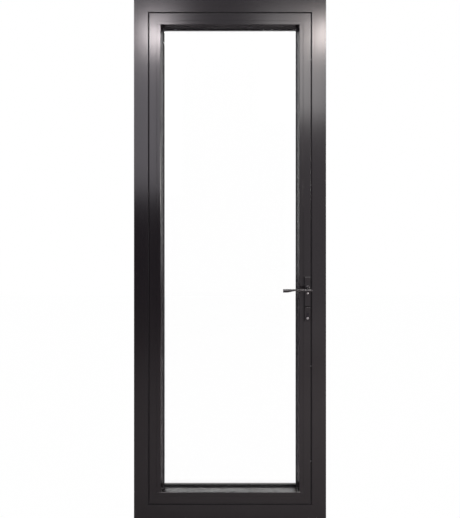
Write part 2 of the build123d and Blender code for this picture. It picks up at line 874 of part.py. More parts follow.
def sill():
    outer = run(frame_outer_section(), "bottom")
    for x in drain_places():
        outer -= drain_cut(x)
    return run(frame_inner_section(), "bottom"), outer


def cam_heights(direction):
    """Heights at rest of the two cams on the upper (1) or lower (-1) rod."""
    end = door_height - cam_below_top if direction > 0 else cam_above_bottom
    return [handle_height + cam_share * (end - handle_height), end]


def build_frame():
    inner, outer = jamb("hinge", -1)
    save("hinge_jamb_inner", inner)
    save("hinge_jamb_outer", outer)
    inner, outer = jamb("lock", 1)
    save("lock_jamb_inner", inner - strike_cut(strike_clear))
    save("lock_jamb_outer", outer)
    inner, outer = sill()
    save("sill_inner", inner)
    save("sill_outer", outer)
    save("head_inner", run(frame_inner_section(), "top"))
    save("head_outer", run(frame_outer_section(), "top"))
    save("frame_thermal_bars", *[run(section, side) for side in SIDES
                                 for section in bar_sections(0, frame_tube)])
    save("frame_corner_cleats", *cleats(frame_tube - wall - cleat_clear, wall + cleat_clear, [
        (front + wall + cleat_clear, inner_back - wall - cleat_clear)]))
    save("frame_seal", ring(frame_seal_section()))
    save("keepers", *[keeper(z, way) for way in (1, -1) for z in cam_heights(way)])
    save("deadbolt_strike", deadbolt_strike())
    save("hinge_frame_wings", *[wing(-1, z) for z in hinge_heights])
    save("drain_caps", *[drain_cap(x) for x in drain_places()])


# The leaf's nodes


def lock_stile():
    inner = run(leaf_inner_section(), "lock") - lock_pocket()
    outer = run(leaf_outer_section(), "lock")
    for slot in milled_slots():
        inner -= slot
        outer -= slot
    inner -= block(gear_x - hub_space, gear_x + hub_space, -door_depth, 0,
                   handle_height - hub_space, handle_height + hub_space)
    return inner, outer


def build_leaf():
    inner, outer = lock_stile()
    save("lock_stile_inner", inner)
    save("lock_stile_outer", outer)
    for name, side in {"hinge_stile": "hinge", "top_rail": "top", "bottom_rail": "bottom"}.items():
        save(f"{name}_inner", run(leaf_inner_section(), side))
        save(f"{name}_outer", run(leaf_outer_section(), side))
    save("leaf_thermal_bars", *[run(section, side) for side in SIDES
                                for section in bar_sections(leaf_edge, leaf_inside)])
    chamber_start = channel_front + groove_depth + wall
    save("leaf_corner_cleats", *cleats(leaf_inside - wall - cleat_clear, chamber_start + cleat_clear, [
        (front + wall + cleat_clear, inner_back - wall - cleat_clear)]))
    save("leaf_seal", ring(lip_seal_section()))
    for name, bead in beads().items():
        save(name, bead)
    save("inner_glazing_gasket", ring(inner_gasket_section()))
    save("outer_glazing_gasket", ring(outer_gasket_section()))
    save("glass_inner", pane(inner_pane_front))
    save("glass_outer", pane(outer_pane_front))
    save("glass_spacer", ring(spacer_section()))
    save("glass_edge_seal", ring(edge_seal_section()))
    save("setting_blocks", *setting_blocks())
    save("hinge_leaf_wings", *[wing(1, z) for z in hinge_heights])


def build_lock():
    save("lock_case", lock_case())
    save("lock_faceplate", lock_faceplate())
    save("inner_backplate", inner_backplate())
    save("inner_escutcheon", inner_escutcheon())
    save("outer_backplate", outer_backplate())
    save("outer_knob", outer_knob())
    save("plate_screw", plate_screw())
    save("cylinder_body", cylinder_body())
    save("cylinder_screw", cylinder_screw())
    save("cylinder_plug", cylinder_plug())
    save("deadbolt", deadbolt())
    save("lever_handle", lever_handle())
    save("spindle", spindle())
    save("drive_pinion", drive_pinion())
    save("upper_drive_rod", upper_rod())
    save("upper_rod_cams", *[cam(z) for z in cam_heights(1)])
    save("lower_drive_rod", lower_rod())
    save("lower_rod_cams", *[cam(z) for z in cam_heights(-1)])


os.makedirs("parts", exist_ok=True)
build_frame()
build_leaf()
build_lock()
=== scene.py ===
"""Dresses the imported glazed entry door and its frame, and sets the studio and the camera.

Every length in a dataclass whose name ends in _mm is in millimetres, in the door's own frame: X runs along
the width to the lock side, Y from the room to the outdoors and Z up from the sill's underside.
"""

import json
import logging
import math
from dataclasses import dataclass
from enum import Enum
from typing import Any, Sequence

import bmesh
import bpy
from mathutils import Matrix, Vector


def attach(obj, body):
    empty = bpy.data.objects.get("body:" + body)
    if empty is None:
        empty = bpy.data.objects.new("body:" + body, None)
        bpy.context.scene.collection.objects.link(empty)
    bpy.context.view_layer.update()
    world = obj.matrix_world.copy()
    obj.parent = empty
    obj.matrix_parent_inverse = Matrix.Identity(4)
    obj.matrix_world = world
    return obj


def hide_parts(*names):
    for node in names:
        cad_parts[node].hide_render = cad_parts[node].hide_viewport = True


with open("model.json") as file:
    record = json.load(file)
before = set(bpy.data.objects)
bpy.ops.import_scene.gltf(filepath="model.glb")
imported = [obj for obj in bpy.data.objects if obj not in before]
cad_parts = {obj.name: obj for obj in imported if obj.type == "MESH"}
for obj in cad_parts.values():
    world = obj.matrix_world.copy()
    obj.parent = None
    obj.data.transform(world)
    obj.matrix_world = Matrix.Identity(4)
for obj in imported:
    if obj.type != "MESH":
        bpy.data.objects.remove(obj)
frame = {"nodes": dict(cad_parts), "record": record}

LOG = logging.getLogger("entry_door")
MM = 0.001
# An added piece starts this far off the face that it stands on, so that no two faces lie in one plane
SEAT_MM = 0.02
# The pieces that each corner of a rounded rectangle is cut into
CORNER_STEPS = 5
Point = tuple[float, float]
Place = tuple[float, float, float]
Socket = bpy.types.NodeSocket
Settings = dict[Any, Any] | None
Links = dict[Any, Socket] | None


# Node and mesh tools


def linear_from_hex(code: str) -> tuple[float, float, float, float]:
    """Turns an sRGB hex colour into the linear colour that a shader takes.

    Args:
        code: The colour, such as "#1A2B3C".

    Returns:
        Linear red, green and blue, with an alpha of 1.
    """
    parts = [int(code[i:i + 2], 16) / 255 for i in (1, 3, 5)]
    red, green, blue = [p / 12.92 if p <= 0.04045 else ((p + 0.055) / 1.055) ** 2.4 for p in parts]
    return red, green, blue, 1.0


def add_node(tree: bpy.types.NodeTree, kind: str, settings: Settings = None,
             links: Links = None) -> bpy.types.Node:
    """Adds one node with its settings and its links.

    Args:
        tree: The tree that gets the node.
        kind: The node's type name in Blender.
        settings: Values by property name, or by the name or number of an input.
        links: Output sockets by the name or number of the input that each one feeds.

    Returns:
        The new node.
    """
    node = tree.nodes.new(kind)
    for key, value in (settings or {}).items():
        if isinstance(key, str) and key in node.bl_rna.properties:
            setattr(node, key, value)
        else:
            node.inputs[key].default_value = value
    for key, socket in (links or {}).items():
        tree.links.new(socket, node.inputs[key])
    return node


def seen_straight(tree: bpy.types.NodeTree) -> Socket:
    """Gives 1 for the camera's rays and for those that have come through glass, and 0 for all others."""
    path = add_node(tree, "ShaderNodeLightPath")
    return add_node(tree, "ShaderNodeMath", {"operation": "MAXIMUM"}, {
        0: path.outputs["Is Camera Ray"], 1: path.outputs["Is Transmission Ray"]}).outputs[0]


def facing(centre_mm: Sequence[float], axis: Sequence[float]) -> Matrix:
    """Places a turned piece, drawn in millimetres, with its own Z along an axis of the door's frame."""
    turn = Vector(axis).to_track_quat("Z", "Y").to_matrix().to_4x4()
    return Matrix.Translation(Vector(centre_mm) * MM) @ turn @ Matrix.Scale(MM, 4)


def towards_room(centre_mm: Sequence[float]) -> Matrix:
    """Places a piece that is drawn in the door's plane, in millimetres, and rises towards the room."""
    upright = Matrix.Rotation(math.pi / 2, 4, "X")
    return Matrix.Translation(Vector(centre_mm) * MM) @ upright @ Matrix.Scale(MM, 4)


class LoftedMesh:
    """Closed bodies made of rings of points that are joined one after another, in one mesh."""

    def __init__(self, name: str) -> None:
        """Starts an empty mesh with the piece's name."""
        self.name = name
        self.mesh = bmesh.new()

    def add(self, rings: Sequence[Sequence[Place]], place: Matrix, hollow: bool = False) -> None:
        """Adds one closed body.

        Args:
            rings: Rings with the same count of points, in the body's own millimetres.
            place: The matrix that takes them to the door's metres.
            hollow: Joins the last ring to the first, as a body with a hole through it.
        """
        rows = [[self.mesh.verts.new(place @ Vector(point)) for point in ring] for ring in rings]
        for row, following in zip(rows, [*rows[1:], rows[0]] if hollow else rows[1:]):
            for i, vertex in enumerate(row):
                j = (i + 1) % len(row)
                self.mesh.faces.new((vertex, row[j], following[j], following[i]))
        if not hollow:
            self.mesh.faces.new(list(reversed(rows[0])))
            self.mesh.faces.new(rows[-1])

    def finish(self, title: str, wardrobe: "Wardrobe", slot: str, body: str,
               replaced: Sequence[str] = (), sharp_deg: float = 32.0) -> None:
        """Makes the object, dresses it, fixes it to the body that carries it and reports it.

        Args:
            title: The sub-assembly that the piece is part of.
            wardrobe: The finishes.
            slot: The record's material slot that it belongs to.
            body: The CAD body that it moves with.
            replaced: The CAD nodes that it stands for.
            sharp_deg: Edges that turn more than this stay sharp.
        """
        bmesh.ops.recalc_face_normals(self.mesh, faces=self.mesh.faces)
        for edge in self.mesh.edges:
            edge.smooth = edge.calc_face_angle(0.0) < math.radians(sharp_deg)
        for face in self.mesh.faces:
            face.smooth = True
        data = bpy.data.meshes.new(self.name)
        self.mesh.to_mesh(data)
        self.mesh.free()
        data.materials.append(wardrobe.materials[slot])
        piece = bpy.data.objects.new(self.name, data)
        bpy.context.scene.collection.objects.link(piece)
        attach(piece, body)
        if replaced:
            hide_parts(*replaced)
        LOG.info("%s: %s made, %d faces", title, self.name, len(data.polygons))


def round_angles(count: int) -> list[float]:
    """Even angles round a circle."""
    return [2 * math.pi * i / count for i in range(count)]


def turned(profile: Sequence[Point], count: int) -> list[list[Place]]:
    """Rings of a turned body, one for each (radius, height) pair, with count points on each."""
    return [[(r * math.cos(a), r * math.sin(a), h) for a in round_angles(count)] for r, h in profile]


def softened(profile: Sequence[Point], steps: int) -> list[Point]:
    """Rounds a profile by a Catmull-Rom curve through its points.

    Args:
        profile: The points that the curve passes through.
        steps: Pieces that each span is cut into.

    Returns:
        The points along the curve.
    """
    points = [Vector(p) for p in (profile[0], *profile, profile[-1])]
    curve: list[Point] = []
    for a, b, c, d in zip(points, points[1:], points[2:], points[3:]):
        for k in range(steps):
            t = k / steps
            at = 0.5 * (2 * b + (c - a) * t + (2 * a - 5 * b + 4 * c - d) * t * t
                        + (3 * b - a - 3 * c + d) * t ** 3)
            curve.append((at.x, at.y))
    return [*curve, tuple(points[-1])]


def rounded_rectangle(half_x: float, half_y: float, corner: float, height: float) -> list[Place]:
    """A ring in the shape of a rectangle with round corners.

    Args:
        half_x: Half its width.
        half_y: Half its depth.
        corner: The corners' radius.
        height: Its place along its own Z.

    Returns:
        Its points, counter-clockwise.
    """
    ring = []
    for quarter, (sx, sy) in enumerate(((1, 1), (-1, 1), (-1, -1), (1, -1))):
        for k in range(CORNER_STEPS + 1):
            angle = math.pi / 2 * (quarter + k / CORNER_STEPS)
            ring.append((sx * (half_x - corner) + corner * math.cos(angle),
                         sy * (half_y - corner) + corner * math.sin(angle), height))
    return ring


class Drive(Enum):
    """The recess in a screw's head."""

    HEX = "hex"
    CROSS = "cross"
    SLOT = "slot"

    def reach(self, angle: float, size: float) -> float:
        """How far the recess reaches from the head's middle.

        Args:
            angle: The direction, in radians.
            size: The recess's half width across.

        Returns:
            The distance to its wall, in the size's own unit.
        """
        if self is Drive.HEX:
            return size / math.cos((angle + math.pi / 6) % (math.pi / 3) - math.pi / 6)
        if self is Drive.CROSS:
            return size * (0.36 + 0.74 * abs(math.cos(2 * angle)) ** 5)
        along, across = max(abs(math.cos(angle)), 1e-6), max(abs(math.sin(angle)), 1e-6)
        return min(1.5 * size / along, 0.3 * size / across)

    def ring(self, size: float, height: float, count: int) -> list[Place]:
        """The recess's outline at one height, with count points."""
        reaches = [(a, self.reach(a, size)) for a in round_angles(count)]
        return [(reach * math.cos(a), reach * math.sin(a), height) for a, reach in reaches]


@dataclass(frozen=True)
class ScrewHead:
    """A lens-head screw: its rim sits on the piece that it holds and its recess is cut into the dome."""

    radius_mm: float
    rise_mm: float
    drive: Drive
    recess_mm: float
    points: int = 36
    sunk_mm: float = 0.15

    def rings(self, shank_mm: Sequence[Point] = ()) -> list[list[Place]]:
        """Rings of the head, standing on its own plane z = 0.

        Args:
            shank_mm: (radius, height) pairs of a shank under the head, from its far end up.

        Returns:
            The rings from the far end to the bottom of the recess.
        """
        radius, rise = self.radius_mm, self.rise_mm
        seat = list(shank_mm) or [(radius, -self.sunk_mm)]
        dome = [(radius, 0.0 if shank_mm else SEAT_MM), (radius, 0.35 * rise), (0.94 * radius, 0.68 * rise),
                (0.8 * radius, 0.92 * rise), (0.66 * radius, rise)]
        # Without a shank the recess ends inside the dome
        depth = self.recess_mm if shank_mm else min(self.recess_mm, 0.92 * rise)
        recess = [self.drive.ring(0.46 * radius, height, self.points) for height in (rise, rise - depth)]
        return turned([*seat, *dome], self.points) + recess


# Finishes


class Paint:
    """A new material with its shader, its output and its coordinates, ready for a finish to add nodes to."""

    def __init__(self, name: str) -> None:
        """Starts the material.

        Args:
            name: The material's name.
        """
        self.material = bpy.data.materials.new(name)
        self.material.use_nodes = True
        self.tree = self.material.node_tree
        self.tree.nodes.clear()
        self.shader = self.add("ShaderNodeBsdfPrincipled")
        self.output = self.add("ShaderNodeOutputMaterial", links={"Surface": self.shader.outputs["BSDF"]})
        self.place = self.add("ShaderNodeTexCoord").outputs["Object"]

    def add(self, kind: str, settings: Settings = None, links: Links = None) -> bpy.types.Node:
        """Adds a node to this material; see add_node."""
        return add_node(self.tree, kind, settings, links)

    def feed(self, name: str, socket: Socket) -> None:
        """Links a socket to one of the shader's inputs."""
        self.tree.links.new(socket, self.shader.inputs[name])

    def noise(self, size_mm: float, detail: float, roughness: float = 0.5) -> Socket:
        """Adds a noise with features this many millimetres wide, and gives its factor."""
        settings = {"Scale": per_metre(size_mm), "Detail": detail, "Roughness": roughness}
        return self.add("ShaderNodeTexNoise", settings, {"Vector": self.place}).outputs["Fac"]

    def colour(self, low: str, high: str, share: Socket) -> None:
        """Gives the shader a base colour that runs from one hex colour to another by a share."""
        ends = {"data_type": "RGBA", 6: linear_from_hex(low), 7: linear_from_hex(high)}
        self.feed("Base Color", self.add("ShaderNodeMix", ends, {0: share}).outputs[2])

    def cover(self, share: Socket, closure: Socket) -> None:
        """Mixes another closure over the shader by a share and shows the mix."""
        mixed = self.add("ShaderNodeMixShader", links={0: share, 1: self.shader.outputs["BSDF"], 2: closure})
        self.tree.links.new(mixed.outputs[0], self.output.inputs["Surface"])


def per_metre(size_mm: float) -> float:
    """The scale of a noise whose features are this many millimetres wide."""
    return 1.0 / (size_mm * MM)


@dataclass(frozen=True)
class PowderCoat:
    """Polyester powder sprayed on aluminium or zinc and baked.

    It flows out before it sets, so the eye sees a satin black skin with a faint orange peel, soft edges and
    slightly duller patches where hands and cloths have been.
    """

    name: str
    low: str
    high: str
    gloss_low: float
    gloss_high: float
    peel_mm: float
    patch_mm: float
    edge_mm: float
    peel_strength: float
    peel_depth_mm: float = 0.02
    ior: float = 1.5

    def build(self) -> bpy.types.Material:
        """Builds the coat's material.

        Returns:
            The new material.
        """
        paint = Paint(self.name)
        patches = paint.noise(self.patch_mm, 3.0, 0.55)
        paint.colour(self.low, self.high, patches)
        gloss = paint.add("ShaderNodeMapRange", {"From Min": 0.3, "From Max": 0.7, "To Min": self.gloss_low,
                                                 "To Max": self.gloss_high}, {"Value": patches})
        # Real orange peel is about 1 to 2 mm wide; a width of a few millimetres still shows in a close view
        peel = paint.noise(self.peel_mm, 1.5)
        edge = paint.add("ShaderNodeBevel", {"samples": 4, "Radius": self.edge_mm * MM})
        bump = paint.add("ShaderNodeBump", {"Strength": self.peel_strength,
                                            "Distance": self.peel_depth_mm * MM},
                         {"Height": peel, "Normal": edge.outputs["Normal"]})
        paint.feed("Roughness", gloss.outputs["Result"])
        paint.feed("Normal", bump.outputs["Normal"])
        paint.shader.inputs["IOR"].default_value = self.ior
        return paint.material


@dataclass(frozen=True)
class GrainedFinish:
    """A bare metal, plastic or rubber surface: blotches from its making, and a grain that runs one way."""

    name: str
    low: str
    high: str
    rough_low: float
    rough_high: float
    blotch_mm: float
    grain_mm: Place
    bump_mm: float
    metal: bool = False
    ior: float = 1.5
    bump_strength: float = 0.5

    def build(self) -> bpy.types.Material:
        """Builds the surface's material.

        Returns:
            The new material.
        """
        paint = Paint(self.name)
        blotch = paint.noise(self.blotch_mm, 3.0)
        stretch = paint.add("ShaderNodeMapping", {"Scale": tuple(per_metre(s) for s in self.grain_mm)},
                            {"Vector": paint.place})
        grain = paint.add("ShaderNodeTexNoise", {"Scale": 1.0, "Detail": 2.0},
                          {"Vector": stretch.outputs["Vector"]})
        both = paint.add("ShaderNodeMath", {"operation": "ADD"}, {0: blotch, 1: grain.outputs["Fac"]})
        share = paint.add("ShaderNodeMapRange", {"From Min": 0.6, "From Max": 1.4},
                          {"Value": both.outputs[0]})
        paint.colour(self.low, self.high, share.outputs["Result"])
        rough = paint.add("ShaderNodeMapRange", {"To Min": self.rough_low, "To Max": self.rough_high},
                          {"Value": share.outputs["Result"]})
        bump = paint.add("ShaderNodeBump", {"Strength": self.bump_strength, "Distance": self.bump_mm * MM},
                         {"Height": grain.outputs["Fac"]})
        paint.feed("Roughness", rough.outputs["Result"])
        paint.feed("Normal", bump.outputs["Normal"])
        if self.metal:
            paint.shader.inputs["Metallic"].default_value = 1.0
        else:
            paint.shader.inputs["IOR"].default_value = self.ior
        return paint.material


@dataclass(frozen=True)
class FloatGlass:
    """Clear float glass, drawn flat on a bath of tin.

    The eye sees straight through it, with hardly a tint, a thin reflection, and a long soft wave in that
    reflection from the rollers of the toughening oven.
    """

    name: str
    low: str
    high: str
    wave_mm: float
    ior: float = 1.52
    specular: float = 0.01
    wave_strength: float = 0.02
    wave_depth_mm: float = 0.05
    clearness: float = 0.96

    def build(self) -> bpy.types.Material:
        """Builds the glass's material: most light goes straight through it, the rest bends and mirrors.

        Returns:
            The new material.
        """
        paint = Paint(self.name)
        haze = paint.noise(self.wave_mm, 2.0)
        paint.colour(self.low, self.high, haze)
        wave = paint.add("ShaderNodeBump", {"Strength": self.wave_strength,
                                            "Distance": self.wave_depth_mm * MM}, {"Height": haze})
        paint.feed("Normal", wave.outputs["Normal"])
        for name, value in {"Roughness": 0.0, "IOR": self.ior, "Transmission Weight": 1.0,
                            "Specular IOR Level": self.specular}.items():
            paint.shader.inputs[name].default_value = value
        clear = paint.add("ShaderNodeBsdfTransparent", {"Color": linear_from_hex(self.high)})
        path = paint.add("ShaderNodeLightPath")
        straight = paint.add("ShaderNodeMath", {"operation": "MAXIMUM", 1: self.clearness},
                             {0: path.outputs["Is Shadow Ray"]})
        paint.cover(straight.outputs[0], clear.outputs["BSDF"])
        return paint.material


@dataclass(frozen=True)
class StudioFloor:
    """Matt pale floor paper, which the camera sees as nearly the white of the background."""

    name: str
    low: str
    high: str
    fleck_mm: float
    whiteness: float
    roughness: float = 0.9
    specular: float = 0.2

    def build(self) -> bpy.types.Material:
        """Builds the floor's material.

        Returns:
            The new material.
        """
        paint = Paint(self.name)
        paint.colour(self.low, self.high, paint.noise(self.fleck_mm, 2.0))
        paint.shader.inputs["Roughness"].default_value = self.roughness
        paint.shader.inputs["Specular IOR Level"].default_value = self.specular
        white = paint.add("ShaderNodeEmission", {"Strength": 1.0})
        share = paint.add("ShaderNodeMath", {"operation": "MULTIPLY", 1: self.whiteness},
                          {0: seen_straight(paint.tree)})
        paint.cover(share.outputs[0], white.outputs["Emission"])
        return paint.material


# One finish for each material slot of the record
FINISHES: dict[str, Any] = {
    # Satin black coat on the extrusions: broad reflections with blurred edges
    "black_coat": PowderCoat("powder_coated_aluminium", "#141112", "#181516", 0.17, 0.19, 4.0, 260.0, 0.5,
                             0.35),
    # The same coat on die-cast zinc: a finer peel and rounder edges, which give the lever thin highlights
    "handle_coat": PowderCoat("powder_coated_zinc_casting", "#151213", "#1B1819", 0.2, 0.26, 3.0, 60.0, 0.8,
                              0.3),
    # The coat on the hinges, over a coarser extrusion: duller, with a plainer skin
    "hinge_coat": PowderCoat("powder_coated_hinge", "#151314", "#1A1818", 0.34, 0.42, 3.0, 80.0, 0.6, 0.6),
    # Extruded polyamide with glass fibre: dull black with fine streaks along the bar
    "polyamide": GrainedFinish("extruded_glass_fibre_polyamide", "#161617", "#232325", 0.55, 0.72, 30.0,
                               (1.5, 1.5, 40.0), 0.02),
    # Injection-moulded ABS: satin black with a fine spark-eroded grain
    "cap_plastic": GrainedFinish("moulded_abs", "#141415", "#1C1C1E", 0.45, 0.55, 12.0, (0.8, 0.8, 0.8),
                                 0.01),
    # Moulded polypropylene glazing blocks: blue and slightly waxy
    "block_plastic": GrainedFinish("moulded_polypropylene", "#27508A", "#3361A0", 0.4, 0.52, 15.0,
                                   (1.2, 1.2, 1.2), 0.01),
    # Die-cast aluminium corner cleats: grey, dull and slightly pitted
    "cast_aluminium": GrainedFinish("die_cast_aluminium", "#9A9B9C", "#B9BABC", 0.42, 0.6, 9.0,
                                    (1.0, 1.0, 1.0), 0.04, metal=True),
    # Black anodised roll-formed spacer: dark metal with drawing lines
    "spacer_aluminium": GrainedFinish("black_anodised_aluminium", "#1B1B1D", "#2A2A2D", 0.3, 0.42, 20.0,
                                      (1.0, 1.0, 60.0), 0.01, metal=True),
    # Extruded EPDM rubber: deep matt black with a greyish bloom
    "epdm": GrainedFinish("extruded_epdm_rubber", "#0D0D0E", "#18181A", 0.62, 0.8, 18.0, (1.2, 1.2, 30.0),
                          0.03, ior=1.52),
    # Gunned polysulphide edge seal: black, smooth and rubbery, with the waves of the gun's pass
    "sealant": GrainedFinish("gunned_polysulphide", "#0E0E10", "#17171A", 0.5, 0.66, 10.0, (3.0, 3.0, 9.0),
                             0.08),
    # Zinc-plated pressed steel: cool grey, clouded by its passivation
    "zinced_steel": GrainedFinish("zinc_plated_steel", "#A9AEB3", "#C9CCCE", 0.28, 0.42, 14.0,
                                  (0.6, 0.6, 12.0), 0.01, metal=True),
    # Brushed stainless steel: fine lines along the plate
    "stainless": GrainedFinish("brushed_stainless_steel", "#B2B0AD", "#D0CECB", 0.24, 0.36, 25.0,
                               (0.5, 0.5, 20.0), 0.01, metal=True),
    # Black nickel plating on milled brass: as dark as the plates round it, with a metal's sharper shine
    "black_nickel": GrainedFinish("black_nickel_plated_brass", "#343336", "#403F42", 0.3, 0.4, 5.0,
                                  (0.6, 3.0, 0.6), 0.006, metal=True),
    # Satin nickel plating on turned brass: light grey, with turning marks
    "nickel": GrainedFinish("satin_nickel_plated_brass", "#BDBDBA", "#D2D2CF", 0.26, 0.36, 6.0,
                            (0.5, 4.0, 0.5), 0.006, metal=True),
    # Clear float glass: only its edges and a faint reflection show
    "float_glass": FloatGlass("clear_float_glass", "#FEFFFF", "#FFFFFF", 300.0),
}


class Wardrobe:
    """Builds each finish once and gives it to the CAD nodes and to the added pieces."""

    def __init__(self, record: dict[str, Any]) -> None:
        """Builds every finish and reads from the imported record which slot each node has."""
        self.materials = {slot: finish.build() for slot, finish in FINISHES.items()}
        self.slots = {part["node"]: part["material_slot"] for part in record["subparts"]}

    def dress(self, title: str, nodes: Sequence[str]) -> None:
        """Gives each CAD node of a sub-assembly the material of its slot, and reports it.

        Args:
            title: The sub-assembly's name.
            nodes: The nodes' names.
        """
        for node in nodes:
            slots = frame["nodes"][node].data.materials
            slots.clear()
            slots.append(self.materials[self.slots[node]])
            LOG.info("%s: %s dressed in %s", title, node, self.materials[self.slots[node]].name)


# Sub-assemblies


@dataclass
class OuterFrame:
    """The fixed frame: extrusions, bars, cleats, seal, drain caps and the caps over the wall screws."""

    wardrobe: Wardrobe
    rebate_x_mm: float = 384.5
    cap_half_mm: float = 8.5
    cap_corner: float = 0.3
    cap_thick_mm: float = 1.4
    cap_y_mm: float = -14.0
    cap_heights_mm: tuple[float, ...] = (200.0, 1200.0, 2200.0)
    nodes: tuple[str, ...] = (
        "hinge_jamb_inner", "hinge_jamb_outer", "lock_jamb_inner", "lock_jamb_outer", "sill_inner",
        "sill_outer", "head_inner", "head_outer", "frame_thermal_bars", "frame_corner_cleats",
        "frame_seal", "drain_caps")

    def build(self) -> None:
        """Dresses the frame and makes the snap-in caps over the driver slots in both jambs."""
        self.wardrobe.dress("frame", self.nodes)
        half, rise = self.cap_half_mm, self.cap_thick_mm
        edge = ((half, SEAT_MM), (half, 0.4 * rise), (half - 0.5, 0.85 * rise), (half - 1.4, rise))
        rings = [rounded_rectangle(size, size, self.cap_corner * size, height) for size, height in edge]
        caps = LoftedMesh("wall_screw_caps")
        for side in (-1, 1):
            for height in self.cap_heights_mm:
                caps.add(rings, facing((side * self.rebate_x_mm, self.cap_y_mm, height), (-side, 0, 0)))
        caps.finish("frame", self.wardrobe, "cap_plastic", "frame")


@dataclass
class Leaf:
    """The moving leaf: its extrusions, bars, cleats, seal and glazing beads."""

    wardrobe: Wardrobe
    nodes: tuple[str, ...] = (
        "hinge_stile_inner", "hinge_stile_outer", "lock_stile_inner", "lock_stile_outer", "top_rail_inner",
        "top_rail_outer", "bottom_rail_inner", "bottom_rail_outer", "leaf_thermal_bars",
        "leaf_corner_cleats", "leaf_seal", "bead_top", "bead_bottom", "bead_hinge_side", "bead_lock_side")

    def build(self) -> None:
        """Dresses the leaf."""
        self.wardrobe.dress("leaf", self.nodes)


@dataclass
class Glazing:
    """The double glazing and what holds and seals it."""

    wardrobe: Wardrobe
    nodes: tuple[str, ...] = (
        "glass_inner", "glass_outer", "glass_spacer", "glass_edge_seal", "setting_blocks",
        "inner_glazing_gasket", "outer_glazing_gasket")

    def build(self) -> None:
        """Dresses the glazing."""
        self.wardrobe.dress("glazing", self.nodes)


@dataclass
class Hinges:
    """Three lift-off hinges on the outdoor face, with their screws, washers and end caps."""

    wardrobe: Wardrobe
    axis_x_mm: float = -394.25
    axis_y_mm: float = 45.0
    heights_mm: tuple[float, ...] = (240.0, 1200.0, 2160.0)
    half_length_mm: float = 50.0
    knuckle_mm: float = 9.0
    pin_mm: float = 5.05
    washer_mm: float = 0.4
    round_points: int = 40
    wing_face_y_mm: float = 37.5
    screw_from_axis_mm: float = 24.0
    screw_pitch_mm: float = 34.0
    screw: ScrewHead = ScrewHead(4.6, 0.9, Drive.CROSS, 0.8)
    nodes: tuple[str, ...] = ("hinge_frame_wings", "hinge_leaf_wings")

    def screws(self, name: str, side: int, body: str) -> None:
        """Makes the screws of one kind of wing.

        Args:
            name: The piece's name.
            side: -1 for the frame's wings, 1 for the leaf's.
            body: The body that carries them.
        """
        mesh = LoftedMesh(name)
        x = self.axis_x_mm + side * self.screw_from_axis_mm
        for height in self.heights_mm:
            for step in (-1, 0, 1):
                at = (x, self.wing_face_y_mm, height + step * self.screw_pitch_mm)
                mesh.add(self.screw.rings(), facing(at, (0, 1, 0)))
        mesh.finish("hinges", self.wardrobe, "hinge_coat", body)

    def end_caps(self, name: str, direction: int, body: str) -> None:
        """Makes the pressed-in caps at one end of each hinge.

        Args:
            name: The piece's name.
            direction: 1 for the upper ends, -1 for the lower ends.
            body: The body that carries them.
        """
        mesh = LoftedMesh(name)
        radius = self.knuckle_mm
        profile = [(radius - 0.2, SEAT_MM), (radius - 0.2, 0.9), (radius - 0.8, 1.7), (radius - 2.4, 2.4),
                   (0.4 * radius, 2.8), (0.1 * radius, 2.9)]
        for height in self.heights_mm:
            end = (self.axis_x_mm, self.axis_y_mm, height + direction * self.half_length_mm)
            mesh.add(turned(profile, self.round_points), facing(end, (0, 0, direction)))
        mesh.finish("hinges", self.wardrobe, "cap_plastic", body)

    def washers(self) -> None:
        """Makes the thin bearing washers in the gaps between the knuckles."""
        mesh = LoftedMesh("hinge_washers")
        outer, inner, half = self.knuckle_mm - 0.4, self.pin_mm, self.washer_mm / 2
        for height in self.heights_mm:
            rings = turned([(inner, -half), (outer, -half), (outer, half), (inner, half)], self.round_points)
            place = facing((self.axis_x_mm, self.axis_y_mm, height), (0, 0, 1))
            mesh.add(rings, place, hollow=True)
        mesh.finish("hinges", self.wardrobe, "cap_plastic", "frame")

    def build(self) -> None:
        """Dresses the wings and makes the small pieces."""
        self.wardrobe.dress("hinges", self.nodes)
        self.screws("hinge_frame_screws", -1, "frame")
        self.screws("hinge_leaf_screws", 1, "leaf")
        self.end_caps("hinge_top_caps", 1, "leaf")
        self.end_caps("hinge_bottom_caps", -1, "frame")
        self.washers()


